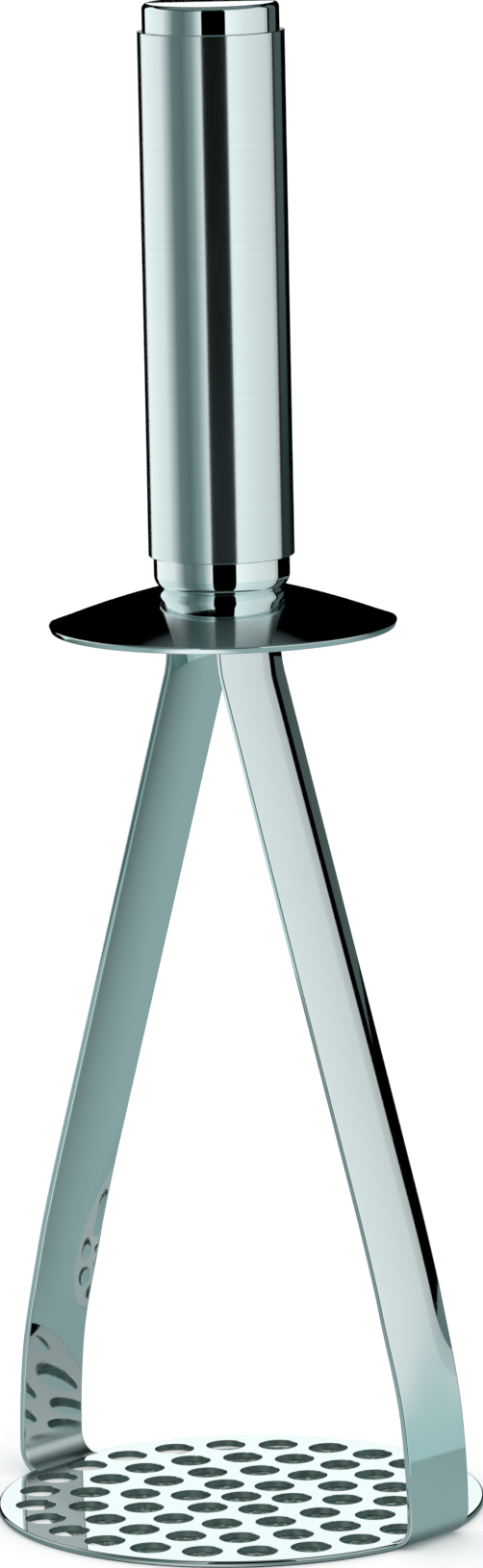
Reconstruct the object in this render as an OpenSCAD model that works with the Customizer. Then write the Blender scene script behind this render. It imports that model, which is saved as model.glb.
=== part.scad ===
// Potato masher: a perforated plate carried by two strap legs, under a domed
// hand guard and a round two-tone handle. Millimetres, +Z up.
// The origin is the centre of the plate's underside, where the masher stands.
// The two legs lie in the XZ plane.

/* [Mash plate] */
// Diameter of the perforated plate
plate_d = 90; // [86:1:94]
// Thickness of the plate
plate_t = 1.2; // [1:0.1:1.5]
// Diameter of each hole
hole_d = 7.3; // [5:0.1:7.5]
// Distance from one ring of holes to the next
ring_pitch = 9.53; // [9:0.01:9.6]
// Number of rings around the centre hole
ring_count = 4; // [1:1:4]
// Turn of the hole pattern about the plate's axis, in degrees
hole_turn = 30; // [0:1:60]

/* [Legs] */
// Distance from the masher's axis to each leg's outer face above the foot bend
leg_reach = 47.8; // [47.5:0.1:48.5]
// Width of each strap
leg_w = 16.4; // [16:0.1:17]
// Thickness of each strap
leg_t = 1.2; // [1:0.1:1.5]
// Lean of the straight middle stretch from upright, in degrees
leg_lean = 17.4; // [17.2:0.1:17.6]
// Inside radius of the bend into the plate
foot_bend_r = 3.8; // [3:0.1:4]
// Height at which the long curve above the foot begins
low_sweep_z = 5; // [4:0.5:8]
// Radius of the long curve above the foot
low_sweep_r = 147.4; // [140:0.1:155]
// Radius of the curve below the hand guard
high_sweep_r = 20; // [15:1:25]
// Upright stretch at the top of each leg
leg_tail = 7.9; // [7.5:0.1:8.5]
// Gap between the legs' inner faces at the top
leg_gap = 11.1; // [10.8:0.1:11.4]

/* [Hand guard] */
// Diameter of the guard's rim
guard_d = 63.5; // [60:0.5:70]
// Sheet thickness of the guard
guard_t = 1.2; // [1:0.1:1.5]
// Radius of the guard's domed section
guard_arc_r = 160; // [140:5:180]
// Slope of the dome at its rim, in degrees
guard_rim_slope = 21.6; // [20:0.1:22]

/* [Handle] */
// Outside diameter of the satin sleeve
sleeve_d = 26.6; // [26.5:0.1:28]
// Length of the sleeve
sleeve_l = 95.3; // [80:0.1:120]
// Diameter of the ferrule, the core tube and the cap
body_d = 24.8; // [24.5:0.1:25]
// Height of the ferrule that shows under the sleeve
ferrule_show = 5.8; // [4:0.1:8]
// Height of the cap that shows above the sleeve
cap_show = 5; // [3:0.1:8]
// Radius of the cap's top edge
cap_edge_r = 1; // [0.5:0.1:1.5]
// Wall of the core tube inside the sleeve
core_wall = 1.2; // [1:0.1:1.5]

/* [Clamp hardware] */
// Diameter of the tie rod
rod_d = 6; // [5:0.5:6]
// Width of the clamp nut across its flats
nut_flats = 10; // [8:0.5:11]
// Height of the clamp nut
nut_h = 5; // [4:0.5:6]
// Thickness of the plain washer and of the lock washer
washer_t = 1.4; // [1:0.1:1.6]
// Thickness of the gasket under the ferrule
gasket_t = 0.6; // [0.4:0.1:1]
// Cord diameter of the two O-rings
ring_cord_d = 1.5; // [1.2:0.1:1.8]

/* [Hidden] */
$fn = 96;

steel = [0.80, 0.83, 0.83];
satin = [0.66, 0.70, 0.70];
shaded = [0.50, 0.54, 0.54];
zinc = [0.72, 0.72, 0.68];
seal = [0.15, 0.15, 0.16];

// Radial room for adhesive between nested tubes, and around the tie rod
glue_gap = 0.05;
rod_room = 0.3;
// Overshoot of a cutting tool past the face that it opens
cut = 1;
// Chords in each rounded stretch of an outline
arc_steps = 14;

// Leg side profile: the foot bend, the long curve, the straight and the top curve
foot_bend_x = leg_reach - leg_t - foot_bend_r;
foot_bend_z = leg_t + foot_bend_r;
low_x = leg_reach - leg_t / 2 - low_sweep_r;
high_x = leg_gap / 2 + leg_t / 2 + high_sweep_r;
straight_x0 = low_x + low_sweep_r * cos(leg_lean);
straight_z0 = low_sweep_z + low_sweep_r * sin(leg_lean);
straight_x1 = high_x - high_sweep_r * cos(leg_lean);
straight_z1 = straight_z0 + (straight_x0 - straight_x1) / tan(leg_lean);
high_z = straight_z1 + high_sweep_r * sin(leg_lean);
leg_top_z = high_z + leg_tail;

// Hand guard: its flat seat, and the dome that falls from the seat to the rim
leg_top_room = 1.5;
seat_r = 11.2;
under_z = leg_top_z + leg_top_room;
seat_z = under_z + guard_t;
guard_arc_x = guard_d / 2 - guard_arc_r * sin(guard_rim_slope);
seat_slope = asin((seat_r - guard_arc_x) / guard_arc_r);
guard_arc_z = seat_z - guard_arc_r * cos(seat_slope);
under_arc_r = guard_arc_r - guard_t;
under_seat_slope = acos((under_z - guard_arc_z) / under_arc_r);
under_rim_slope = asin((guard_d / 2 - guard_arc_x) / under_arc_r);

// Heights up the handle
body_r = body_d / 2;
sleeve_z0 = seat_z + ferrule_show;
sleeve_z1 = sleeve_z0 + sleeve_l;
top_z = sleeve_z1 + cap_show;
engage_l = 8;
spigot_l = 7;
core_z0 = sleeve_z0 + engage_l;
core_z1 = sleeve_z1 - engage_l;
core_bore_r = body_r - core_wall;
spigot_r = core_bore_r - glue_gap;
cavity_r = 9;
ring_groove_w = ring_cord_d + 0.3;
ring_z0 = sleeve_z0 + engage_l / 2;
ring_z1 = sleeve_z1 - engage_l / 2;
ring_mid_r = body_r + glue_gap - ring_cord_d / 2;
ring_groove_r = body_r + glue_gap - ring_cord_d;

// The ferrule's rounded lower edge, cut off where it meets the guard
ferrule_edge_r = 2.9;
ferrule_edge_a = 55;
ferrule_floor = 3.2;

// Clamp stack inside the ferrule, from the floor upwards
boss_w = 13.4;
boss_h = 9;
boss_z0 = under_z - boss_h;
weld_leg = 1.2;
gasket_r = 9;
washer_z = seat_z + ferrule_floor;
lock_z = washer_z + washer_t;
nut_z = lock_z + washer_t;
lock_washer_r = 5.9;
lock_gap = 0.8;

// Cap: a hub under its top wall holds the threaded bush
cap_wall = 2.5;
hub_r = 6.5;
bush_r = 4.5;
bush_l = 11;
bush_z0 = core_z1 - spigot_l + 1;
rod_z0 = boss_z0 + 1;
rod_z1 = bush_z0 + bush_l - 1.5;

// Points of an arc about [x, y], from angle a0 to angle a1
function arc(x, y, r, a0, a1) = [
    for (i = [0 : arc_steps])
        let (a = a0 + (a1 - a0) * i / arc_steps)
            [x + r * cos(a), y + r * sin(a)]
];

// One face of a leg in side view, set off from its middle line by side
function leg_face(side) = concat(
    arc(foot_bend_x, foot_bend_z, foot_bend_r + leg_t / 2 + side, -90, 0),
    arc(low_x, low_sweep_z, low_sweep_r + side, 0, leg_lean),
    arc(high_x, high_z, high_sweep_r - side, 180 + leg_lean, 180),
    [[high_x - high_sweep_r + side, leg_top_z]]
);

function reversed(points) = [for (i = [len(points) - 1 : -1 : 0]) points[i]];

module leg() {
    rotate([90, 0, 0])
        linear_extrude(leg_w, center = true)
            polygon(concat(leg_face(leg_t / 2), reversed(leg_face(-leg_t / 2))));
}

// A straight tube standing on z
module tube(z, h, outer_r, inner_r) {
    translate([0, 0, z])
        difference() {
            cylinder(h = h, r = outer_r);
            translate([0, 0, -cut]) cylinder(h = h + 2 * cut, r = inner_r);
        }
}

// A round hole from z, h deep
module bore(z, h, r) {
    translate([0, 0, z]) cylinder(h = h, r = r);
}

module o_ring(z) {
    translate([0, 0, z])
        rotate_extrude()
            translate([ring_mid_r, 0]) circle(r = ring_cord_d / 2, $fn = 24);
}

// The groove that an O-ring sits in
module ring_groove(z) {
    tube(z - ring_groove_w / 2, ring_groove_w, body_r + cut, ring_groove_r);
}

module mash_plate() {
    color(steel)
        difference() {
            cylinder(h = plate_t, d = plate_d);
            bore(-cut, plate_t + 2 * cut, hole_d / 2);
            for (ring = [1 : ring_count])
                for (i = [0 : 6 * ring - 1])
                    rotate(hole_turn + i * 60 / ring)
                        translate([ring * ring_pitch, 0, -cut])
                            cylinder(h = plate_t + 2 * cut, d = hole_d, $fn = 48);
            for (side = [0, 1])
                mirror([side, 0, 0])
                    translate([foot_bend_x, -leg_w / 2, -cut])
                        cube([leg_reach, leg_w, plate_t + 2 * cut]);
        }
}

module right_leg() {
    color(steel) leg();
}

module left_leg() {
    color(steel) mirror([1, 0, 0]) leg();
}

module leg_boss() {
    color(shaded)
        difference() {
            translate([-leg_gap / 2, -boss_w / 2, boss_z0]) cube([leg_gap, boss_w, boss_h]);
            bore(boss_z0 - cut, boss_h + 2 * cut, rod_d / 2);
        }
}

// Fillet welds in the four upright corners between the boss and the legs
module leg_welds() {
    color(shaded)
        for (a = [0, 1], b = [0, 1])
            mirror([a, 0, 0])
                mirror([0, b, 0])
                    translate([leg_gap / 2, boss_w / 2, boss_z0])
                        linear_extrude(leg_top_z - boss_z0)
                            polygon([[0, 0], [0, weld_leg], [-weld_leg, 0]]);
}

module hand_guard() {
    color(steel)
        difference() {
            rotate_extrude()
                polygon(concat(
                    [[0, under_z], [0, seat_z]],
                    arc(guard_arc_x, guard_arc_z, guard_arc_r, 90 - seat_slope, 90 - guard_rim_slope),
                    arc(guard_arc_x, guard_arc_z, under_arc_r, 90 - under_rim_slope, 90 - under_seat_slope)
                ));
            bore(under_z - cut, guard_t + 2 * cut, rod_d / 2 + rod_room);
        }
}

module guard_gasket() {
    color(seal) tube(seat_z, gasket_t, gasket_r, rod_d / 2 + rod_room);
}

module ferrule() {
    edge_x = body_r - ferrule_edge_r;
    edge_z = seat_z + ferrule_edge_r * sin(ferrule_edge_a);
    color(steel)
        difference() {
            rotate_extrude()
                polygon(concat(
                    [[0, seat_z]],
                    arc(edge_x, edge_z, ferrule_edge_r, -ferrule_edge_a, 0),
                    [[body_r, core_z0], [spigot_r, core_z0]],
                    [[spigot_r, core_z0 + spigot_l], [0, core_z0 + spigot_l]]
                ));
            bore(washer_z, core_z0, cavity_r);
            bore(seat_z - cut, ferrule_floor + 2 * cut, rod_d / 2 + rod_room);
            bore(seat_z - cut, gasket_t + cut, gasket_r);
            ring_groove(ring_z0);
        }
}

module clamp_washer() {
    color(zinc) tube(washer_z, washer_t, cavity_r - rod_room, rod_d / 2 + rod_room);
}

module lock_washer() {
    color(zinc)
        difference() {
            tube(lock_z, washer_t, lock_washer_r, rod_d / 2 + rod_room);
            translate([0, -lock_gap / 2, lock_z - cut])
                cube([lock_washer_r + cut, lock_gap, washer_t + 2 * cut]);
        }
}

module clamp_nut() {
    color(zinc)
        difference() {
            translate([0, 0, nut_z]) cylinder(h = nut_h, d = nut_flats / cos(30), $fn = 6);
            bore(nut_z - cut, nut_h + 2 * cut, rod_d / 2);
        }
}

module tie_rod() {
    color(zinc) bore(rod_z0, rod_z1 - rod_z0, rod_d / 2);
}

module core_tube() {
    color(shaded) tube(core_z0, core_z1 - core_z0, body_r, core_bore_r);
}

module ferrule_o_ring() {
    color(seal) o_ring(ring_z0);
}

module handle_sleeve() {
    color(satin) tube(sleeve_z0, sleeve_l, sleeve_d / 2, body_r + glue_gap);
}

module cap_o_ring() {
    color(seal) o_ring(ring_z1);
}

module cap_bush() {
    color(zinc) tube(bush_z0, bush_l, bush_r, rod_d / 2);
}

module top_cap() {
    cavity_z0 = core_z1 - spigot_l;
    color(steel)
        difference() {
            rotate_extrude()
                polygon(concat(
                    [[0, cavity_z0], [spigot_r, cavity_z0], [spigot_r, core_z1], [body_r, core_z1]],
                    arc(body_r - cap_edge_r, top_z - cap_edge_r, cap_edge_r, 0, 90),
                    [[0, top_z]]
                ));
            tube(cavity_z0 - cut, top_z - cap_wall - cavity_z0 + cut, cavity_r, hub_r);
            bore(cavity_z0 - cut, bush_z0 - cavity_z0 + cut, hub_r + cut);
            bore(bush_z0 - cut, bush_l + cut, bush_r);
            ring_groove(ring_z1);
        }
}

mash_plate();
left_leg();
right_leg();
leg_boss();
leg_welds();
hand_guard();
guard_gasket();
ferrule();
clamp_washer();
lock_washer();
clamp_nut();
tie_rod();
core_tube();
ferrule_o_ring();
handle_sleeve();
cap_o_ring();
cap_bush();
top_cap();
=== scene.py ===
import math

import bmesh
import bpy
from bpy.props import FloatProperty, FloatVectorProperty, IntProperty, PointerProperty
from mathutils import Matrix, Vector


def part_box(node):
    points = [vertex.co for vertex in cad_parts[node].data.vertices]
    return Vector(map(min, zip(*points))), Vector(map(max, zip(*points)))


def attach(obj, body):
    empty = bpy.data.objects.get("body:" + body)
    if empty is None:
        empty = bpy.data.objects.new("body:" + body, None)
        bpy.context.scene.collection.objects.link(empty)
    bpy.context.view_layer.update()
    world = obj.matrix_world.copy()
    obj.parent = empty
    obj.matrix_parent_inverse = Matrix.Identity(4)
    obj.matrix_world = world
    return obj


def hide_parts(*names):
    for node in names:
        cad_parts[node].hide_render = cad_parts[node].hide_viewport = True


bl_info = {
    "name": "Potato Masher",
    "version": (1, 0, 0),
    "blender": (4, 5, 0),
    "location": "3D View > Sidebar > Masher",
    "description": "Builds the finished steel pieces of a potato masher around its CAD frame",
    "category": "Object",
}

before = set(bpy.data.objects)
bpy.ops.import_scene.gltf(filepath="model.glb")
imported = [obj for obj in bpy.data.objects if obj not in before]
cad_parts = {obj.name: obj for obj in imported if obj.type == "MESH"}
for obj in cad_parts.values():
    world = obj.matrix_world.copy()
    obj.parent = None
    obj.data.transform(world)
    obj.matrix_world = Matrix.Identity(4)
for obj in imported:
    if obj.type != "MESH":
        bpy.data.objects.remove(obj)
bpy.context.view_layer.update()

MM = 0.001
BODY = "root"
# Two points closer than this are one point
WELD = 0.002 * MM
# Edges that turn by more than this stay crisp
CRISP = math.radians(35)
# Edges that turn by more than this are the corners of a sheet
SHARP = math.radians(60)


# ---------------------------------------------------------------- sizes


def length(name, description, default):
    return FloatProperty(
        name=name, description=description, default=default, unit="LENGTH", subtype="DISTANCE"
    )


def angle(name, description, degrees):
    return FloatProperty(
        name=name, description=description, default=math.radians(degrees), subtype="ANGLE"
    )


def tone(name, description, default):
    return FloatVectorProperty(
        name=name, description=description, default=default, size=3, min=0, max=1, subtype="COLOR"
    )


class PlateSizes(bpy.types.PropertyGroup):
    hole_d: length("Hole diameter", "Diameter of each hole", 7.3 * MM)
    ring_pitch: length("Ring pitch", "Distance from one ring of holes to the next", 9.53 * MM)
    ring_count: IntProperty(name="Rings", description="Rings of holes round the centre hole", default=4)
    hole_turn: angle("Hole turn", "Turn of the hole pattern about the plate's axis", 30)
    rim_round: length("Rim round", "Rounding of the plate's rim", 0.35 * MM)
    hole_break: length("Hole edge", "Chamfer on each hole's edge", 0.1 * MM)


class LegSizes(bpy.types.PropertyGroup):
    thickness: length("Thickness", "Thickness of the strap", 1.2 * MM)
    lean: angle("Lean", "Lean of the straight stretch from upright", 17.4)
    foot_bend_r: length("Foot bend", "Inside radius of the bend into the plate", 3.8 * MM)
    foot_strip: length("Foot strip", "Flat strip before the foot bend", 0.1 * MM)
    low_sweep_z: length("Low sweep height", "Height at which the long curve begins", 5 * MM)
    low_sweep_r: length("Low sweep", "Radius of the long curve above the foot", 147.4 * MM)
    high_sweep_r: length("High sweep", "Radius of the curve below the guard", 20 * MM)
    gap: length("Gap", "Gap between the legs' inner faces at the top", 11.1 * MM)
    section_r: length("Section radius", "Radius of the strap's curve across its width", 27.5 * MM)
    section_shift: length("Section shift", "Distance of the curve's crown from the middle", 0.8 * MM)
    section_start_z: length("Section start", "Height at which the strap begins to curve across", 23 * MM)
    section_full_z: length("Section full", "Height at which the strap is fully curved", 44 * MM)
    section_lift: length("Section lift", "How far the curved strap's crown stands out", 1.0 * MM)
    lift_full_z: length("Lift full", "Height at which the crown stands fully out", 62 * MM)
    edge_round: length("Edge round", "Rounding of the strap's edges", 0.3 * MM)


class GuardSizes(bpy.types.PropertyGroup):
    thickness: length("Thickness", "Sheet thickness of the guard", 1.2 * MM)
    arc_r: length("Dome radius", "Radius of the domed section", 160 * MM)
    rim_slope: angle("Rim slope", "Slope of the dome at its rim", 21.6)
    seat_r: length("Seat radius", "Radius of the flat seat under the ferrule", 11.2 * MM)
    hole_r: length("Hole radius", "Radius of the hole for the tie rod", 3.3 * MM)
    rim_round: length("Rim round", "Rounding of the rim's two corners", 0.15 * MM)


class HandleSizes(bpy.types.PropertyGroup):
    bore_r: length("Sleeve bore", "Bore radius of the sleeve", 12.45 * MM)
    sleeve_break: length("Sleeve edge", "Chamfer on the sleeve's ends", 0.15 * MM)
    spigot_r: length("Spigot radius", "Radius of the spigots that the core tube fits over", 11.15 * MM)
    cavity_r: length("Cavity radius", "Radius of the hollow in the ferrule and the cap", 9 * MM)
    cap_hub_r: length("Cap hub radius", "Radius of the hub round the cap's bush", 6.5 * MM)
    cap_wall: length("Cap wall", "Thickness of the cap's top", 2.5 * MM)
    cap_edge_r: length("Cap edge", "Radius of the cap's top edge", 1 * MM)
    ferrule_edge_r: length("Ferrule edge", "Radius of the ferrule's lower edge", 2.9 * MM)
    ferrule_edge_a: angle("Ferrule edge turn", "Turn of the lower edge before it meets the guard", 55)


class Colours(bpy.types.PropertyGroup):
    polished: tone("Polished steel", "Reflection colour of the polished steel", (0.80, 0.87, 0.872))
    plate: tone("Plate steel", "Reflection colour of the mash plate", (0.50, 0.55, 0.545))
    satin: tone("Satin steel", "Reflection colour of the satin sleeve", (0.79, 0.86, 0.862))
    plain: tone("Plain steel", "Colour of the turned hardware", (0.58, 0.60, 0.60))
    rubber: tone("Rubber", "Colour of the seals", (0.02, 0.02, 0.022))
    # The hole walls' colour is partly the duller sheared steel and partly painted shade in the holes
    sheared_and_shaded: tone("Hole walls", "Colour of the sheared walls of the holes", (0.20, 0.26, 0.24))
    shaded: tone("Shaded floor", "Colour of the floor in the shade under the plate", (0.085, 0.12, 0.11))
    floor: tone("Floor", "Colour of the floor", (0.93, 0.94, 0.94))


class StageSizes(bpy.types.PropertyGroup):
    azimuth: angle("Camera azimuth", "Way round from the legs' square view to the camera", 40.9)
    distance: length("Camera distance", "Level distance from the handle's axis", 1463.9 * MM)
    height: length("Camera height", "Height of the camera above the floor", 393.8 * MM)
    pitch: angle("Camera pitch", "How far the camera looks down", 10.007)
    roll: angle("Camera roll", "Lean of the camera", -1.173)
    yaw: angle("Camera yaw", "Turn of the camera off the axis", 0.108)
    lens: FloatProperty(name="Lens", description="Focal length in millimetres", default=186.76)
    floor_size: length("Floor size", "Side of the square floor", 30.0)
    floor_gap: length("Floor gap", "Drop of the floor below the plate", 0.02 * MM)
    shade_r: length("Shade radius", "Radius of the shaded floor under the plate", 40.5 * MM)
    sky_glow: FloatProperty(name="Sky", description="Brightness on matt surfaces", default=1.15)
    card_radius: length("Card radius", "Distance of the cards from the handle's axis", 530 * MM)
    table_z: length("Table drop", "Level of the reflected table", -62 * MM)
    ceiling_z: length("Ceiling height", "Level of the overhead card", 700 * MM)


GROUPS = {
    "masher_plate": PlateSizes,
    "masher_legs": LegSizes,
    "masher_guard": GuardSizes,
    "masher_handle": HandleSizes,
    "masher_colours": Colours,
    "masher_stage": StageSizes,
}


# ---------------------------------------------------------------- modelling helpers


def deselect_all():
    if bpy.context.mode != "OBJECT":
        bpy.ops.object.mode_set(mode="OBJECT")
    bpy.ops.object.select_all(action="DESELECT")


def edit(obj):
    """Opens obj in edit mode with everything selected."""
    deselect_all()
    bpy.context.view_layer.objects.active = obj
    obj.select_set(True)
    bpy.ops.object.mode_set(mode="EDIT")
    bpy.ops.mesh.select_mode(type="VERT")
    bpy.ops.mesh.select_all(action="SELECT")


def pick(obj, test, kind="verts"):
    """In edit mode, selects exactly the vertices, or the edges, that pass the test."""
    modes = {"verts": "VERT", "edges": "EDGE"}
    bpy.ops.mesh.select_mode(type=modes[kind])
    bpy.ops.mesh.select_all(action="DESELECT")
    mesh = bmesh.from_edit_mesh(obj.data)
    for part in getattr(mesh, kind):
        if test(part):
            part.select_set(True)
    mesh.select_flush_mode()
    bmesh.update_edit_mesh(obj.data)


def tidy_mesh():
    """In edit mode: joins doubles and turns every face outwards."""
    bpy.ops.mesh.select_all(action="SELECT")
    bpy.ops.mesh.remove_doubles(threshold=WELD)
    bpy.ops.mesh.normals_make_consistent(inside=False)


def extrude_to(here, there):
    bpy.ops.mesh.extrude_region_move(TRANSFORM_OT_translate={"value": there - here})


def add_modifier(obj, kind, **settings):
    """Adds a modifier with these settings and applies it."""
    deselect_all()
    bpy.context.view_layer.objects.active = obj
    obj.select_set(True)
    modifier = obj.modifiers.new(kind.lower(), kind)
    for name, value in settings.items():
        setattr(modifier, name, value)
    bpy.ops.object.modifier_apply(modifier=modifier.name)


def smooth(obj, crisp=CRISP):
    deselect_all()
    bpy.context.view_layer.objects.active = obj
    obj.select_set(True)
    bpy.ops.object.shade_smooth_by_angle(angle=crisp)


def arc(x, z, r, start, end, steps):
    """Points of an arc about (x, z) in the XZ plane, both ends included."""
    turns = [start + (end - start) * i / steps for i in range(steps + 1)]
    return [(x + r * math.cos(t), z + r * math.sin(t)) for t in turns]


def ease(value, start, end):
    """0 up to start, 1 from end on, and a smooth rise between them."""
    t = min(max((value - start) / (end - start), 0), 1)
    return t * t * (3 - 2 * t)


def chain(name, points):
    """A chain of edges through these points, left in edit mode."""
    deselect_all()
    bpy.ops.mesh.primitive_plane_add(size=MM, location=points[0])
    obj = bpy.context.active_object
    obj.name = obj.data.name = name
    bpy.ops.object.transform_apply(location=True, rotation=True, scale=True)
    edit(obj)
    bpy.ops.mesh.merge(type="CENTER")
    for here, there in zip(points, points[1:]):
        extrude_to(here, there)
    return obj


def lathe(name, outline, steps=160):
    """A solid of revolution about Z from a closed outline of (radius, z) points."""
    obj = chain(name, [Vector((r, 0, z)) for r, z in outline + outline[:1]])
    bpy.ops.mesh.select_all(action="SELECT")
    bpy.ops.mesh.remove_doubles(threshold=WELD)
    bpy.ops.mesh.spin(steps=steps, angle=2 * math.pi, center=(0, 0, 0), axis=(0, 0, 1))
    tidy_mesh()
    smooth(obj)
    return obj


def hand_over(obj, material, slot, *nodes):
    """Gives a finished piece its material and body, and lets it stand for its CAD nodes."""
    deselect_all()
    obj.data.materials.clear()
    obj.data.materials.append(material)
    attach(obj, BODY)
    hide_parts(*nodes)


# ---------------------------------------------------------------- material helpers


def feed(tree, target, value):
    """Links a socket to the target, or sets the target to a colour or a number."""
    if isinstance(value, bpy.types.NodeSocket):
        tree.links.new(value, target)
    elif target.type == "RGBA":
        target.default_value = (*value, 1)
    else:
        target.default_value = value


def node(tree, kind, inputs=None, **settings):
    """A new shader node with these settings, its inputs fed from a dictionary."""
    made = tree.nodes.new("ShaderNode" + kind)
    for name, value in settings.items():
        setattr(made, name, value)
    for label, value in (inputs or {}).items():
        feed(tree, made.inputs[label], value)
    return made


def place(tree):
    """The point on the object that is being shaded."""
    return node(tree, "TexCoord").outputs["Object"]


def maths(tree, operation, *values):
    return node(tree, "Math", dict(enumerate(values)), operation=operation).outputs["Value"]


def vector_maths(tree, operation, *values, output="Vector"):
    return node(tree, "VectorMath", dict(enumerate(values)), operation=operation).outputs[output]


def level_reach(tree):
    """The shaded point's distance from the handle's axis."""
    level = vector_maths(tree, "MULTIPLY", place(tree), (1, 1, 0))
    return vector_maths(tree, "LENGTH", level, output="Value")


def fade(tree, value, start=0.0, end=1.0, low=0.0, high=1.0, eased=False):
    """A number that goes from low to high as the value goes from start to end."""
    kind = "SMOOTHSTEP" if eased else "LINEAR"
    spread = {"Value": value, "From Min": start, "From Max": end, "To Min": low, "To Max": high}
    return node(tree, "MapRange", spread, interpolation_type=kind).outputs["Result"]


def blend(tree, mask, low, high, kind="RGBA"):
    """Goes from low to high as the mask goes from 0 to 1."""
    return node(tree, "Mix", {"Factor": mask, "A": low, "B": high}, data_type=kind).outputs["Result"]


def bump(tree, height, distance, strength):
    """The normal of a surface with this relief."""
    relief = {"Height": height, "Distance": distance, "Strength": strength}
    return node(tree, "Bump", relief).outputs["Normal"]


def scaled(colour, factor):
    return tuple(part * factor for part in colour)


def new_group(name, inputs, outputs):
    """A shader node group with number sockets. Gives it and the two ends to wire up inside it."""
    group = bpy.data.node_groups.new(name, "ShaderNodeTree")
    for label, default in inputs.items():
        socket = group.interface.new_socket(label, in_out="INPUT", socket_type="NodeSocketFloat")
        socket.default_value = default
    for label in outputs:
        group.interface.new_socket(label, in_out="OUTPUT", socket_type="NodeSocketFloat")
    return group, group.nodes.new("NodeGroupInput").outputs, group.nodes.new("NodeGroupOutput").inputs


def brush_lines(name):
    """Fine grooves that run level round a turned piece. Height is their relief, Tone their shade."""
    inputs = {"Lines per metre": 9000.0, "Length": 60.0}
    group, given, result = new_group(name, inputs, ("Height", "Tone"))
    spread = {"X": given["Length"], "Y": given["Length"], "Z": given["Lines per metre"]}
    scale = node(group, "CombineXYZ", spread).outputs["Vector"]
    stretched = vector_maths(group, "MULTIPLY", place(group), scale)
    fine = {"Vector": stretched, "Scale": 1.0, "Detail": 3.0, "Roughness": 0.6}
    broad = {"Vector": stretched, "Scale": 0.13, "Detail": 2.0}
    feed(group, result["Height"], node(group, "TexNoise", fine).outputs["Fac"])
    feed(group, result["Tone"], node(group, "TexNoise", broad).outputs["Fac"])
    return group


def handling_marks(name):
    """Soft cloudy marks left by washing and drying. Mask is 0 on clean steel."""
    group, given, result = new_group(name, {"Size": 90.0, "Amount": 0.5}, ("Mask", "Height"))
    cloudy = {"Vector": place(group), "Scale": given["Size"], "Detail": 4.0, "Distortion": 0.6}
    cloud = node(group, "TexNoise", cloudy).outputs["Fac"]
    marked = fade(group, cloud, start=0.48, end=0.72, eased=True)
    feed(group, result["Mask"], maths(group, "MULTIPLY", marked, given["Amount"]))
    feed(group, result["Height"], cloud)
    return group


def hair_scratches(name):
    """Sparse hair-fine scratches in three directions. Mask is 1 in a scratch."""
    group, given, result = new_group(name, {"Size": 140.0, "Width": 0.012}, ("Mask",))
    total = 0.0
    for turn in (12.0, 74.0, 131.0):
        tilt = (math.radians(turn), 0.3, math.radians(2 * turn))
        drawn_out = {"Vector": place(group), "Rotation": tilt, "Scale": (1.0, 0.08, 1.0)}
        cells = {"Vector": node(group, "Mapping", drawn_out).outputs["Vector"], "Scale": given["Size"]}
        edge = node(group, "TexVoronoi", cells, feature="DISTANCE_TO_EDGE").outputs["Distance"]
        total = maths(group, "MAXIMUM", total, maths(group, "LESS_THAN", edge, given["Width"]))
    feed(group, result["Mask"], total)
    return group


EFFECTS = {
    "Brush lines": brush_lines,
    "Handling marks": handling_marks,
    "Hair scratches": hair_scratches,
}


def effect(tree, name, inputs):
    """Places an effect's node group, which is built the first time that it is asked for."""
    group = bpy.data.node_groups.get(name) or EFFECTS[name](name)
    return node(tree, "Group", inputs, node_tree=group).outputs


# ---------------------------------------------------------------- finishes


def finish(make, name, *looks):
    """The material of this name, made the first time that a piece asks for it."""
    return bpy.data.materials.get(name) or make(name, *looks)


def new_material(name):
    material = bpy.data.materials.new(name)
    material.use_nodes = True
    return material, material.node_tree


def dress(tree, inputs):
    """Feeds these inputs of the material's shader."""
    shader = tree.nodes["Principled BSDF"]
    for label, value in inputs.items():
        feed(tree, shader.inputs[label], value)


def change(tree, label, mask, changed, kind):
    """Where the mask is 1, gives this input of the shader the changed value."""
    before = tree.nodes["Principled BSDF"].inputs[label].links[0].from_socket
    dress(tree, {label: blend(tree, mask, before, changed, kind)})


def polished_steel(name, colour, marks=0.3):
    """Mirror-polished stainless steel with faint washing marks and hair scratches."""
    material, tree = new_material(name)
    clouds = effect(tree, "Handling marks", {"Size": 85.0, "Amount": marks})
    hairs = effect(tree, "Hair scratches", {"Size": 150.0, "Width": 0.01})
    cloudy = fade(tree, clouds["Mask"], low=0.025, high=0.045)
    dress(tree, {
        "Metallic": 1.0,
        "Base Color": blend(tree, clouds["Mask"], colour, scaled(colour, 0.96)),
        "Roughness": maths(tree, "MULTIPLY_ADD", hairs["Mask"], 0.03, cloudy),
        "Normal": bump(tree, clouds["Height"], 0.002 * MM, 0.05),
    })
    return material


def plate_steel(name, colours, reach):
    """Polished steel on which the holes' upright walls, within reach, are rougher, and darker with
    painted shade in the holes.
    """
    material = polished_steel(name, colours.plate)
    tree = material.node_tree
    facing = node(tree, "NewGeometry").outputs["True Normal"]
    upwards = node(tree, "SeparateXYZ", {"Vector": facing}).outputs["Z"]
    # The normal of a wall is nearly level
    wall = maths(tree, "LESS_THAN", maths(tree, "ABSOLUTE", upwards), 0.5)
    inside = maths(tree, "LESS_THAN", level_reach(tree), reach)
    bore = maths(tree, "MULTIPLY", wall, inside)
    # The walls' darker, mottled colour is painted shade in the holes, over their real rougher sheared
    # finish
    mottle = effect(tree, "Handling marks", {"Size": 600.0, "Amount": 1.0})
    sheared_and_shaded = blend(tree, mottle["Mask"], colours.sheared_and_shaded, scaled(colours.sheared_and_shaded, 0.6))
    change(tree, "Base Color", bore, sheared_and_shaded, "RGBA")
    change(tree, "Roughness", bore, 0.38, "FLOAT")
    return material


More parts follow.
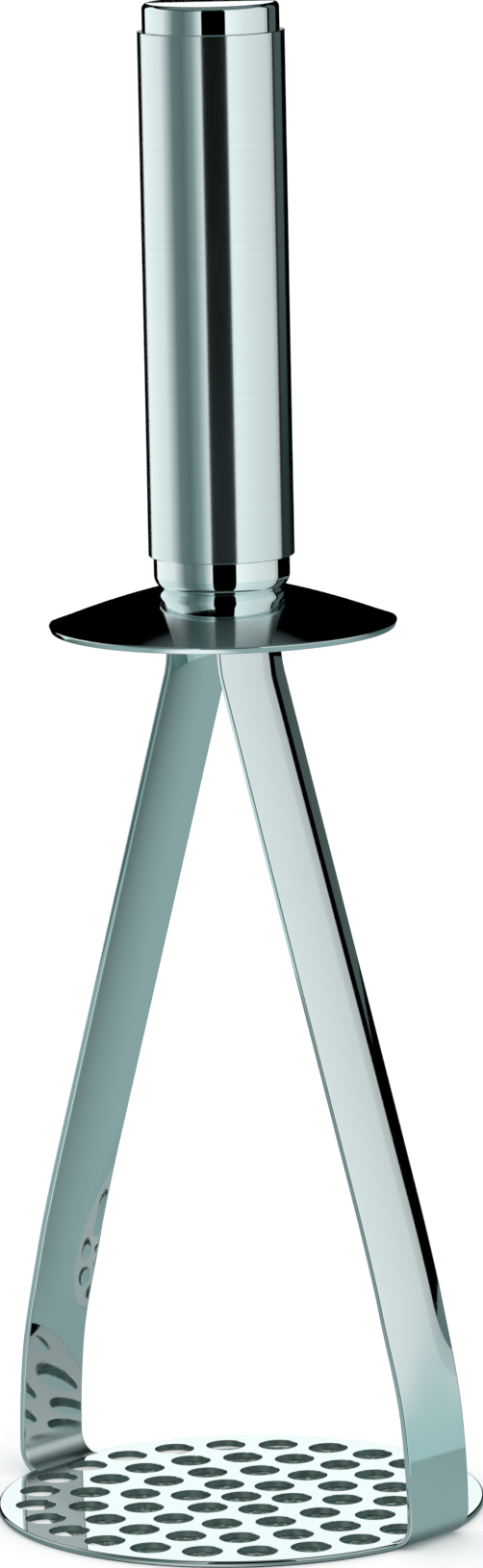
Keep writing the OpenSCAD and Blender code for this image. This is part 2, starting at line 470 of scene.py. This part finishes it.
def strap_steel(name, colour, bend_top):
    """Polished steel that is a little rougher in the foot bend, where it was drawn round the tool."""
    material = polished_steel(name, colour, marks=0.4)
    tree = material.node_tree
    height = node(tree, "SeparateXYZ", {"Vector": place(tree)}).outputs["Z"]
    bent = fade(tree, height, start=1.6 * bend_top, end=0.8 * bend_top, eased=True)
    change(tree, "Roughness", bent, 0.3, "FLOAT")
    return material


def satin_steel(name, colour):
    """Stainless steel brushed round the piece: mirror-like round it and broad up and down it."""
    material, tree = new_material(name)
    lines = effect(tree, "Brush lines", {"Lines per metre": 9000.0, "Length": 55.0})
    clouds = effect(tree, "Handling marks", {"Size": 60.0, "Amount": 0.3})
    dress(tree, {
        "Metallic": 1.0,
        "Anisotropic": 0.95,
        "Anisotropic Rotation": 0.25,
        "Tangent": node(tree, "Tangent", direction_type="RADIAL", axis="Z").outputs["Tangent"],
        "Base Color": blend(tree, lines["Tone"], scaled(colour, 0.95), scaled(colour, 1.04)),
        "Roughness": fade(tree, clouds["Mask"], low=0.19, high=0.22),
        "Normal": bump(tree, lines["Height"], 0.002 * MM, 0.2),
    })
    return material


def plain_steel(name, colour):
    """Turned or cut steel hardware with visible tool marks."""
    material, tree = new_material(name)
    lines = effect(tree, "Brush lines", {"Lines per metre": 4000.0, "Length": 300.0})
    clouds = effect(tree, "Handling marks", {"Size": 160.0, "Amount": 1.0})
    dress(tree, {
        "Metallic": 1.0,
        "Base Color": blend(tree, clouds["Mask"], colour, scaled(colour, 0.8)),
        "Roughness": fade(tree, lines["Tone"], low=0.22, high=0.42),
        "Normal": bump(tree, lines["Height"], 0.01 * MM, 0.3),
    })
    return material


def seal_rubber(name, colour):
    """Matt black silicone rubber with a faint bloom."""
    material, tree = new_material(name)
    clouds = effect(tree, "Handling marks", {"Size": 400.0, "Amount": 1.0})
    dress(tree, {
        "Base Color": blend(tree, clouds["Mask"], colour, scaled(colour, 2.0)),
        "Roughness": fade(tree, clouds["Mask"], low=0.55, high=0.75),
        "Normal": bump(tree, clouds["Height"], 0.02 * MM, 0.3),
    })
    return material


# ---------------------------------------------------------------- pieces


class MASHER_OT_plate(bpy.types.Operator):
    """Builds the perforated mash plate"""

    bl_idname = "masher.plate"
    bl_label = "Mash Plate"

    def execute(self, context):
        sizes = context.scene.masher_plate
        legs = context.scene.masher_legs
        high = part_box("mash_plate")[1]
        radius, thickness = high.y, high.z
        notch_x = legs_reach() - legs.thickness - legs.foot_bend_r - legs.foot_strip
        deselect_all()
        bpy.ops.mesh.primitive_cylinder_add(
            vertices=360, radius=radius, depth=thickness, location=(0, 0, thickness / 2)
        )
        plate = context.active_object
        plate.name = plate.data.name = "mash_plate_disc"
        bpy.ops.object.transform_apply(location=True)
        edit(plate)
        pick(plate, lambda e: abs(e.verts[0].co.z - e.verts[1].co.z) < WELD, "edges")
        bpy.ops.mesh.bevel(offset=sizes.rim_round, segments=4, affect="EDGES")
        cutter = self.cutters(sizes, notch_x, thickness)
        add_modifier(plate, "BOOLEAN", operation="DIFFERENCE", solver="EXACT", object=cutter)
        bpy.data.objects.remove(cutter)
        edit(plate)
        # The holes' edges lie inside these, and the edges of the rim and the notches outside
        reach = radius - sizes.rim_round - 0.2 * MM
        inner_x = notch_x - 0.02 * MM

        def hole_edge(edge):
            if len(edge.link_faces) != 2 or edge.calc_face_angle() < SHARP:
                return False
            middle = (edge.verts[0].co + edge.verts[1].co) / 2
            level = abs(edge.verts[0].co.z - edge.verts[1].co.z) < WELD
            return level and middle.xy.length < reach and abs(middle.x) < inner_x

        pick(plate, hole_edge, "edges")
        bpy.ops.mesh.bevel(offset=sizes.hole_break, segments=1, affect="EDGES")
        tidy_mesh()
        smooth(plate, crisp=math.radians(25))
        add_modifier(plate, "WEIGHTED_NORMAL", keep_sharp=True, weight=100)
        steel = finish(plate_steel, "Plate polish", context.scene.masher_colours, reach)
        hand_over(plate, steel, "polished_steel", "mash_plate")
        return {"FINISHED"}

    @staticmethod
    def cutters(sizes, notch_x, thickness):
        """One object of all the hole punches and the two foot notches."""
        depth = 4 * thickness
        spots = [(0.0, 0.0)]
        for ring in range(1, sizes.ring_count + 1):
            reach = ring * sizes.ring_pitch
            for i in range(6 * ring):
                turn = sizes.hole_turn + math.radians(60) * i / ring
                spots.append((reach * math.cos(turn), reach * math.sin(turn)))
        deselect_all()
        made = []
        for x, y in spots:
            bpy.ops.mesh.primitive_cylinder_add(
                vertices=56, radius=sizes.hole_d / 2, depth=depth, location=(x, y, 0)
            )
            made.append(bpy.context.active_object)
        notch_l = 10 * MM
        for side in (1, -1):
            bpy.ops.mesh.primitive_cube_add(size=1, location=(side * (notch_x + notch_l / 2), 0, 0))
            box = bpy.context.active_object
            box.scale = (notch_l, leg_width(), depth)
            made.append(box)
        deselect_all()
        for obj in made:
            obj.select_set(True)
        bpy.context.view_layer.objects.active = made[0]
        bpy.ops.object.transform_apply(location=True, rotation=True, scale=True)
        bpy.ops.object.join()
        return bpy.context.active_object


def legs_reach():
    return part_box("right_leg")[1].x


def leg_width():
    low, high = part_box("right_leg")
    return high.y - low.y


class MASHER_OT_legs(bpy.types.Operator):
    """Builds the two strap legs, curved a little across their width, with a bend into the plate"""

    bl_idname = "masher.legs"
    bl_label = "Legs"

    def execute(self, context):
        sizes = context.scene.masher_legs
        bend_top = sizes.foot_bend_r + sizes.thickness
        steel = finish(strap_steel, "Leg polish", context.scene.masher_colours.polished, bend_top)
        for name, side in (("right_leg", 1), ("left_leg", -1)):
            leg = self.strap(sizes, name + "_strap", side)
            hand_over(leg, steel, "leg_steel", name)
        return {"FINISHED"}

    def strap(self, sizes, name, side):
        """One strap, drawn as a thin sheet from the foot up and then given its thickness."""
        width, reach, top_z = leg_width(), legs_reach(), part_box("right_leg")[1].z
        half = sizes.thickness / 2
        bend_x = reach - sizes.thickness - sizes.foot_bend_r
        bend_z = sizes.thickness + sizes.foot_bend_r
        low_x = reach - half - sizes.low_sweep_r
        high_x = sizes.gap / 2 + half + sizes.high_sweep_r
        lean = sizes.lean
        # The straight stretch runs from below, where the long curve ends, to above, under the guard
        below_x = low_x + sizes.low_sweep_r * math.cos(lean)
        below_z = sizes.low_sweep_z + sizes.low_sweep_r * math.sin(lean)
        above_x = high_x - sizes.high_sweep_r * math.cos(lean)
        above_z = below_z + (below_x - above_x) / math.tan(lean)
        high_z = above_z + sizes.high_sweep_r * math.sin(lean)
        foot_x = bend_x - sizes.foot_strip / 2

        deselect_all()
        bpy.ops.mesh.primitive_grid_add(
            x_subdivisions=1, y_subdivisions=36, size=1, location=(foot_x, 0, half)
        )
        leg = bpy.context.active_object
        leg.name = leg.data.name = name
        leg.scale = (sizes.foot_strip, width, 1)
        bpy.ops.object.transform_apply(location=True, rotation=True, scale=True)
        edit(leg)
        pick(leg, lambda v: v.co.x > foot_x)
        self.bend((bend_x, 0, bend_z), math.pi / 2, steps=24)
        extrude_to(Vector((0, 0, bend_z)), Vector((0, 0, sizes.low_sweep_z)))
        self.bend((low_x, 0, sizes.low_sweep_z), lean, steps=28)
        rows = 40
        rise = Vector((above_x - below_x, 0, above_z - below_z)) / rows
        for _ in range(rows):
            extrude_to(Vector(), rise)
        self.bend((high_x, 0, high_z), -lean, steps=14)
        extrude_to(Vector((0, 0, high_z)), Vector((0, 0, top_z)))
        tidy_mesh()
        deselect_all()
        self.curve_section(leg, sizes, width, side)
        add_modifier(leg, "SOLIDIFY", thickness=sizes.thickness, offset=0, use_even_offset=True)
        edit(leg)

        def outer_edge(edge):
            foot = max(v.co.z for v in edge.verts) < 2 * sizes.thickness
            foot_end = foot and max(v.co.x for v in edge.verts) < foot_x
            return edge.calc_face_angle(0) > SHARP and not foot_end

        pick(leg, outer_edge, "edges")
        bpy.ops.mesh.bevel(offset=sizes.edge_round, segments=3, affect="EDGES")
        tidy_mesh()
        if side < 0:
            bpy.ops.transform.resize(value=(-1, 1, 1), center_override=(0, 0, 0))
            bpy.ops.mesh.normals_make_consistent(inside=False)
        smooth(leg)
        add_modifier(leg, "WEIGHTED_NORMAL", keep_sharp=True, weight=60)
        return leg

    @staticmethod
    def bend(centre, sweep, steps):
        """Carries the selected end row of the strap round a centre line along Y."""
        bpy.ops.mesh.spin(steps=steps, angle=sweep, center=centre, axis=(0, 1, 0), use_auto_merge=False)

    @staticmethod
    def curve_section(leg, sizes, width, side):
        """Curves the strap across its width: the crown stands out and the long edges stay in line."""
        pressed = leg.vertex_groups.new(name="pressed")
        lifted = leg.vertex_groups.new(name="lifted")
        depth = (width / 2 + sizes.section_shift) ** 2 / (2 * sizes.section_r)
        for vertex in leg.data.vertices:
            curved = ease(vertex.co.z, sizes.section_start_z, sizes.section_full_z)
            across = side * vertex.co.y - sizes.section_shift
            press = curved * across ** 2 / (2 * sizes.section_r)
            pressed.add([vertex.index], press / depth, "REPLACE")
            stands_out = ease(vertex.co.z, sizes.section_start_z, sizes.lift_full_z)
            lifted.add([vertex.index], stands_out, "REPLACE")
        for name, push in (("pressed", -depth), ("lifted", sizes.section_lift)):
            add_modifier(leg, "DISPLACE", vertex_group=name, direction="X", mid_level=0, strength=push)


class MASHER_OT_guard(bpy.types.Operator):
    """Builds the domed hand guard"""

    bl_idname = "masher.guard"
    bl_label = "Hand Guard"

    def execute(self, context):
        sizes = context.scene.masher_guard
        rim_r, seat_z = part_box("hand_guard")[1].y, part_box("hand_guard")[1].z
        quarter = math.pi / 2
        centre_x = rim_r - sizes.arc_r * math.sin(sizes.rim_slope)
        seat_slope = math.asin((sizes.seat_r - centre_x) / sizes.arc_r)
        centre_z = seat_z - sizes.arc_r * math.cos(seat_slope)
        under_r = sizes.arc_r - sizes.thickness
        under_slope = math.acos((seat_z - sizes.thickness - centre_z) / under_r)
        # The rim is cut square to the dome, so its lower corner lies a little further in
        slope, round_r = sizes.rim_slope, sizes.rim_round
        inwards = Vector((-math.cos(slope), math.sin(slope)))
        down = Vector((-math.sin(slope), -math.cos(slope)))
        centre = Vector((centre_x, centre_z))
        top_end = slope - round_r / sizes.arc_r
        top = arc(centre_x, centre_z, sizes.arc_r, quarter - seat_slope, quarter - top_end, 48)
        under = arc(centre_x, centre_z, under_r, quarter - top_end, quarter - under_slope, 48)
        upper_round = self.corner(centre - sizes.arc_r * down, inwards, down, round_r)
        lower_round = self.corner(centre - under_r * down, -down, inwards, round_r)
        outline = (
            [(sizes.hole_r, seat_z)] + top[:-1] + upper_round + lower_round + under[1:]
            + [(sizes.hole_r, seat_z - sizes.thickness)]
        )
        guard = lathe("hand_guard_dome", outline, steps=240)
        steel = finish(polished_steel, "Guard polish", context.scene.masher_colours.polished)
        hand_over(guard, steel, "polished_steel", "hand_guard")
        return {"FINISHED"}

    @staticmethod
    def corner(tip, back, on, r, steps=4):
        """Points of the rounding of a square corner, from back along one side to on along the other."""
        middle = tip + r * (back + on)
        turns = [i / steps * math.pi / 2 for i in range(steps + 1)]
        return [tuple(middle - r * (math.cos(t) * on + math.sin(t) * back)) for t in turns]


class MASHER_OT_ferrule(bpy.types.Operator):
    """Builds the polished ferrule between the guard and the sleeve"""

    bl_idname = "masher.ferrule"
    bl_label = "Ferrule"

    def execute(self, context):
        sizes = context.scene.masher_handle
        low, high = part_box("ferrule")
        body_r, z0, z1 = high.x, low.z, high.z
        core_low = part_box("core_tube")[0].z
        washer_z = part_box("clamp_washer")[0].z
        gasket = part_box("guard_gasket")[1]
        rod_r = context.scene.masher_guard.hole_r
        spigot_r, cavity_r = sizes.spigot_r, sizes.cavity_r
        turn = sizes.ferrule_edge_a
        edge = arc(
            body_r - sizes.ferrule_edge_r, z0 + sizes.ferrule_edge_r * math.sin(turn),
            sizes.ferrule_edge_r, -turn, 0, 16,
        )
        groove = groove_outline(body_r, "ferrule_o_ring")
        outline = (
            [(gasket.x, z0)] + edge + groove + [(body_r, core_low), (spigot_r, core_low)]
            + [(spigot_r, z1), (cavity_r, z1), (cavity_r, washer_z), (rod_r, washer_z)]
            + [(rod_r, gasket.z), (gasket.x, gasket.z)]
        )
        ferrule = lathe("ferrule_ring", outline)
        steel = finish(polished_steel, "Turned polish", context.scene.masher_colours.polished)
        hand_over(ferrule, steel, "polished_steel", "ferrule")
        return {"FINISHED"}


def groove_outline(body_r, seal):
    """The seal's groove, from below, in a turned part's outside."""
    seal_low, seal_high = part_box(seal)
    room, squeeze = 0.15 * MM, 0.05 * MM
    depth = seal_high.z - seal_low.z - squeeze
    return [
        (body_r, seal_low.z - room), (body_r - depth, seal_low.z - room),
        (body_r - depth, seal_high.z + room), (body_r, seal_high.z + room),
    ]


class MASHER_OT_sleeve(bpy.types.Operator):
    """Builds the satin handle sleeve"""

    bl_idname = "masher.sleeve"
    bl_label = "Handle Sleeve"

    def execute(self, context):
        sizes = context.scene.masher_handle
        low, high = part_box("handle_sleeve")
        outer, inner, edge = high.x, sizes.bore_r, sizes.sleeve_break
        outline = [
            (inner, low.z), (outer - edge, low.z), (outer, low.z + edge),
            (outer, high.z - edge), (outer - edge, high.z), (inner, high.z),
        ]
        sleeve = lathe("handle_sleeve_tube", outline)
        steel = finish(satin_steel, "Sleeve satin", context.scene.masher_colours.satin)
        hand_over(sleeve, steel, "satin_steel", "handle_sleeve")
        return {"FINISHED"}


class MASHER_OT_cap(bpy.types.Operator):
    """Builds the polished top cap"""

    bl_idname = "masher.cap"
    bl_label = "Top Cap"

    def execute(self, context):
        sizes = context.scene.masher_handle
        low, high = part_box("top_cap")
        body_r, z0, z1 = high.x, low.z, high.z
        core_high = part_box("core_tube")[1].z
        bush_low, bush_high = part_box("cap_bush")
        hub_r, cavity_r, hollow_z = sizes.cap_hub_r, sizes.cavity_r, z1 - sizes.cap_wall
        edge_r = sizes.cap_edge_r
        corner = arc(body_r - edge_r, z1 - edge_r, edge_r, 0, math.pi / 2, 12)
        groove = groove_outline(body_r, "cap_o_ring")
        outline = (
            [(0, bush_high.z), (bush_high.x, bush_high.z), (bush_high.x, bush_low.z)]
            + [(hub_r, bush_low.z), (hub_r, hollow_z), (cavity_r, hollow_z), (cavity_r, z0)]
            + [(sizes.spigot_r, z0), (sizes.spigot_r, core_high), (body_r, core_high)]
            + groove + corner + [(0, z1)]
        )
        cap = lathe("top_cap_turned", outline)
        steel = finish(polished_steel, "Turned polish", context.scene.masher_colours.polished)
        hand_over(cap, steel, "polished_steel", "top_cap")
        return {"FINISHED"}


class MASHER_OT_hardware(bpy.types.Operator):
    """Gives the boss, welds, clamp hardware, tubes and seals their finishes"""

    bl_idname = "masher.hardware"
    bl_label = "Inner Hardware"

    def execute(self, context):
        colours = context.scene.masher_colours
        steel = finish(plain_steel, "Plain hardware", colours.plain)
        weld = finish(plain_steel, "Weld bead", scaled(colours.plain, 0.85))
        rubber = finish(seal_rubber, "Seal rubber", colours.rubber)
        finishes = {
            "leg_boss": steel, "leg_welds": weld, "clamp_washer": steel, "lock_washer": steel,
            "clamp_nut": steel, "tie_rod": steel, "core_tube": steel, "cap_bush": steel,
            "guard_gasket": rubber, "ferrule_o_ring": rubber, "cap_o_ring": rubber,
        }
        for name, material in finishes.items():
            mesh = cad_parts[name].data
            mesh.materials.clear()
            mesh.materials.append(material)
        return {"FINISHED"}


# ---------------------------------------------------------------- stage


# Tints of the reflector cards: the lit ones are nearly white, the dim ones greenish
PALE = (0.955, 1.0, 1.0)
TEAL = (0.70, 1.0, 0.995)
# The cards that reach down to the reflected table start just below it, in metres
FOOT = -0.065
# Reflector cards round the handle: name, the two bearings they run between in degrees from the
# camera, positive to its right, the brightness and the tint at each end, and the lowest and highest
# edges in metres.
CARDS = (
    ("left_wall", -141, -88, 1.08, 0.88, PALE, PALE, FOOT, 0.60),
    ("left_fall", -88, -66, 0.88, 0.25, PALE, TEAL, FOOT, 0.60),
    ("left_dim", -66, -46, 0.22, 0.16, TEAL, TEAL, FOOT, 0.60),
    ("left_rise_far", -46, -31, 0.17, 0.36, TEAL, TEAL, FOOT, 0.60),
    ("left_rise_near", -31, -15.5, 0.36, 0.94, TEAL, PALE, FOOT, 0.60),
    ("right_softbox_near", 24, 60, 1.06, 0.86, PALE, PALE, FOOT, 0.70),
    ("right_softbox_far", 60, 100, 0.86, 0.73, PALE, PALE, FOOT, 0.70),
    ("right_shade", 100, 108.5, 0.64, 0.54, PALE, PALE, FOOT, 0.70),
    ("right_dim", 114.5, 138, 0.10, 0.11, TEAL, TEAL, 0.145, 0.345),
    ("right_dim_high", 115, 138, 0.13, 0.13, TEAL, TEAL, 0.345, 0.60),
    ("right_low_near", 108.5, 126, 0.20, 0.24, TEAL, TEAL, FOOT, 0.04),
    ("right_low", 126, 165, 0.20, 0.20, TEAL, TEAL, FOOT, 0.06),
    ("back_low", 172.5, 187.5, 1.5, 1.5, PALE, PALE, 0.115, 0.175),
    ("back_high", 177, 183, 1.15, 1.15, PALE, PALE, 0.3199, 0.40),
)
# The cards are dimmed by this tint at the table, and not at all from this height up
CARD_DIMMING = scaled(TEAL, 0.78)
CARD_CLEAR_Z = 90 * MM
# The table card fades again this way, and the fade is done where the dot product with it is FAR_END
FAR_LEFT = (-0.9, 1, 0)
FAR_END = 430 * MM
# Brightness of the reflected table away from the plate
TABLE_GLOW = 0.42
# Middle of the shaded floor. It lies off the axis, so the outermost holes on one side show lit floor.
SHADE_CENTRE = (3 * MM, 2.6 * MM, 0)


def heading(sizes, bearing):
    """Direction in the XY plane, in radians, of a bearing from the camera."""
    return math.radians(bearing) + sizes.azimuth - math.pi / 2


def reflector(obj, along):
    """Makes obj a card that only polished surfaces see. along builds its colour socket."""
    material, tree = new_material(obj.name)
    tree.nodes.remove(tree.nodes["Principled BSDF"])
    glow = node(tree, "Emission", {"Color": along(tree)}).outputs["Emission"]
    feed(tree, tree.nodes["Material Output"].inputs["Surface"], glow)
    obj.data.materials.append(material)
    for ray in ("camera", "diffuse", "shadow", "transmission"):
        setattr(obj, "visible_" + ray, False)


class MASHER_OT_stage(bpy.types.Operator):
    """Builds the pale floor, the soft light, the reflector cards and the camera"""

    bl_idname = "masher.stage"
    bl_label = "Studio Stage"

    def execute(self, context):
        sizes = context.scene.masher_stage
        self.floor(context, sizes)
        self.light(context, sizes)
        for card in CARDS:
            self.card(sizes, *card)
        # The reflected table is nearly black near the axis: painted shade under the masher
        inner, outer = (50 * MM, 0.03), (130 * MM, TABLE_GLOW)
        self.disc(sizes, "table_card", sizes.table_z, inner, outer, far_share=0.40)
        self.front_patch(sizes)
        inner, outer = (300 * MM, 0.22), (sizes.card_radius, 0)
        self.disc(sizes, "ceiling_card", sizes.ceiling_z, inner, outer, far_share=1)
        self.camera(context, sizes)
        context.scene.view_settings.view_transform = "Standard"
        return {"FINISHED"}

    @staticmethod
    def floor(context, sizes):
        """A matt floor, with a dark patch in the shade under the plate."""
        deselect_all()
        bpy.ops.mesh.primitive_plane_add(size=sizes.floor_size, location=(0, 0, -sizes.floor_gap))
        floor = context.active_object
        bpy.ops.object.transform_apply(location=True)
        floor.name = "floor"
        material, tree = new_material("Floor")
        colour = context.scene.masher_colours.floor
        clouds = effect(tree, "Handling marks", {"Size": 4.0, "Amount": 1.0})
        open_floor = blend(tree, clouds["Mask"], colour, scaled(colour, 0.99))
        shade = context.scene.masher_colours.shaded
        mottle = effect(tree, "Handling marks", {"Size": 900.0, "Amount": 1.0})
        shaded_floor = blend(tree, mottle["Mask"], shade, scaled(shade, 4.5))
        apart = vector_maths(tree, "DISTANCE", place(tree), SHADE_CENTRE, output="Value")
        under = maths(tree, "LESS_THAN", apart, sizes.shade_r)
        dress(tree, {
            "Base Color": blend(tree, under, open_floor, shaded_floor),
            "Roughness": 0.9,
            "Specular IOR Level": 0.0,
        })
        floor.data.materials.append(material)
        floor.visible_glossy = False

    @staticmethod
    def light(context, sizes):
        """An even white sky that lights matt surfaces and shows behind the object."""
        world = bpy.data.worlds.new("Soft studio light")
        context.scene.world = world
        world.use_nodes = True
        tree = world.node_tree
        glossy = node(tree, "LightPath").outputs["Is Glossy Ray"]
        background = tree.nodes["Background"].inputs
        feed(tree, background["Color"], (1, 1, 1))
        feed(tree, background["Strength"], fade(tree, glossy, low=sizes.sky_glow, high=0))

    @staticmethod
    def card(sizes, name, bearing_0, bearing_1, glow_0, glow_1, tint_0, tint_1, z0, z1):
        """An upright curved card about the handle's axis, dimmer towards the table."""
        start = heading(sizes, bearing_0)
        sweep = math.radians(bearing_1 - bearing_0)
        x, y = sizes.card_radius * math.cos(start), sizes.card_radius * math.sin(start)
        card = chain(name, [Vector((x, y, z0)), Vector((x, y, z1))])
        bpy.ops.mesh.select_all(action="SELECT")
        bpy.ops.mesh.spin(steps=24, angle=-sweep, center=(0, 0, 0), axis=(0, 0, 1))
        smooth(card, crisp=SHARP)

        def along(tree):
            turned = {"Vector": place(tree), "Angle": math.pi - (start + sweep / 2)}
            spot = node(tree, "VectorRotate", turned, rotation_type="Z_AXIS").outputs["Vector"]
            parts = node(tree, "SeparateXYZ", {"Vector": spot}).outputs
            bearing = maths(tree, "ARCTAN2", parts["Y"], maths(tree, "MULTIPLY", parts["X"], -1.0))
            across = fade(tree, bearing, start=sweep / 2, end=-sweep / 2)
            colour = blend(tree, across, scaled(tint_0, glow_0), scaled(tint_1, glow_1))
            rise = fade(tree, parts["Z"], start=sizes.table_z, end=CARD_CLEAR_Z, eased=True)
            return vector_maths(tree, "MULTIPLY", colour, blend(tree, rise, CARD_DIMMING, (1, 1, 1)))

        reflector(card, along)

    @staticmethod
    def disc(sizes, name, z, inner, outer, far_share):
        """A level round card that fades from one (radius, brightness) to the other.

        Towards the far left it fades again, to far_share of that."""
        deselect_all()
        bpy.ops.mesh.primitive_circle_add(
            vertices=96, radius=sizes.card_radius, fill_type="NGON", location=(0, 0, z)
        )
        disc = bpy.context.active_object
        disc.name = name
        bpy.ops.object.transform_apply(location=True)

        def along(tree):
            outwards = fade(tree, level_reach(tree), start=inner[0], end=outer[0])
            shade = blend(tree, outwards, scaled(TEAL, inner[1]), scaled(TEAL, outer[1]))
            away = vector_maths(tree, "DOT_PRODUCT", place(tree), FAR_LEFT, output="Value")
            share = fade(tree, away, end=FAR_END, low=1, high=far_share)
            return vector_maths(tree, "MULTIPLY", shade, share)

        reflector(disc, along)

    @staticmethod
    def front_patch(sizes):
        """A soft bright patch of table in front, which lights the guard's cut rim."""
        bearing, away = -22, 210 * MM
        bright_r, patch_r = 40 * MM, 140 * MM
        turn = heading(sizes, bearing)
        middle = (away * math.cos(turn), away * math.sin(turn), sizes.table_z + MM)
        deselect_all()
        bpy.ops.mesh.primitive_circle_add(vertices=64, radius=patch_r, fill_type="NGON", location=middle)
        patch = bpy.context.active_object
        patch.name = "table_patch"

        def along(tree):
            reach = vector_maths(tree, "LENGTH", place(tree), output="Value")
            outwards = fade(tree, reach, start=bright_r, end=patch_r, eased=True)
            return blend(tree, outwards, PALE, scaled(TEAL, TABLE_GLOW))

        reflector(patch, along)

    @staticmethod
    def camera(context, sizes):
        """A long-lens camera that looks a little down on the masher and is slightly rolled."""
        turn = sizes.azimuth
        level = Vector((-math.sin(turn), math.cos(turn), 0))
        side = Vector((math.cos(turn), math.sin(turn), 0))
        up = Vector((0, 0, 1))
        ahead = level * math.cos(sizes.yaw) + side * math.sin(sizes.yaw)
        right = side * math.cos(sizes.yaw) - level * math.sin(sizes.yaw)
        look = ahead * math.cos(sizes.pitch) - up * math.sin(sizes.pitch)
        upright = up * math.cos(sizes.pitch) + ahead * math.sin(sizes.pitch)
        right_rolled = right * math.cos(sizes.roll) + upright * math.sin(sizes.roll)
        up_rolled = upright * math.cos(sizes.roll) - right * math.sin(sizes.roll)
        data = bpy.data.cameras.new("camera")
        data.sensor_width = 36
        data.lens = sizes.lens
        data.clip_start = 0.05
        data.clip_end = 100
        camera = bpy.data.objects.new("camera", data)
        context.scene.collection.objects.link(camera)
        spot = -level * sizes.distance + up * sizes.height
        axes = Matrix((right_rolled, up_rolled, -look)).transposed().to_4x4()
        camera.matrix_world = Matrix.Translation(spot) @ axes
        context.scene.camera = camera


# ---------------------------------------------------------------- panel and registration


STEPS = (
    MASHER_OT_plate,
    MASHER_OT_legs,
    MASHER_OT_guard,
    MASHER_OT_ferrule,
    MASHER_OT_sleeve,
    MASHER_OT_cap,
    MASHER_OT_hardware,
    MASHER_OT_stage,
)


class MASHER_PT_panel(bpy.types.Panel):
    """Lists the masher's pieces in the order in which they are built"""

    bl_idname = "MASHER_PT_panel"
    bl_label = "Potato Masher"
    bl_space_type = "VIEW_3D"
    bl_region_type = "UI"
    bl_category = "Masher"

    def draw(self, context):
        layout = self.layout
        for name in GROUPS:
            box = layout.box()
            group = getattr(context.scene, name)
            for prop in group.__annotations__:
                box.prop(group, prop)
        for step in STEPS:
            layout.operator(step.bl_idname)


def register():
    for name, group in GROUPS.items():
        bpy.utils.register_class(group)
        setattr(bpy.types.Scene, name, PointerProperty(type=group))
    for step in STEPS:
        bpy.utils.register_class(step)
    bpy.utils.register_class(MASHER_PT_panel)


def unregister():
    bpy.utils.unregister_class(MASHER_PT_panel)
    for step in reversed(STEPS):
        bpy.utils.unregister_class(step)
    for name, group in GROUPS.items():
        delattr(bpy.types.Scene, name)
        bpy.utils.unregister_class(group)


def main():
    register()
    for step in STEPS:
        area, name = step.bl_idname.split(".")
        getattr(getattr(bpy.ops, area), name)()


if __name__ == "__main__":
    main()
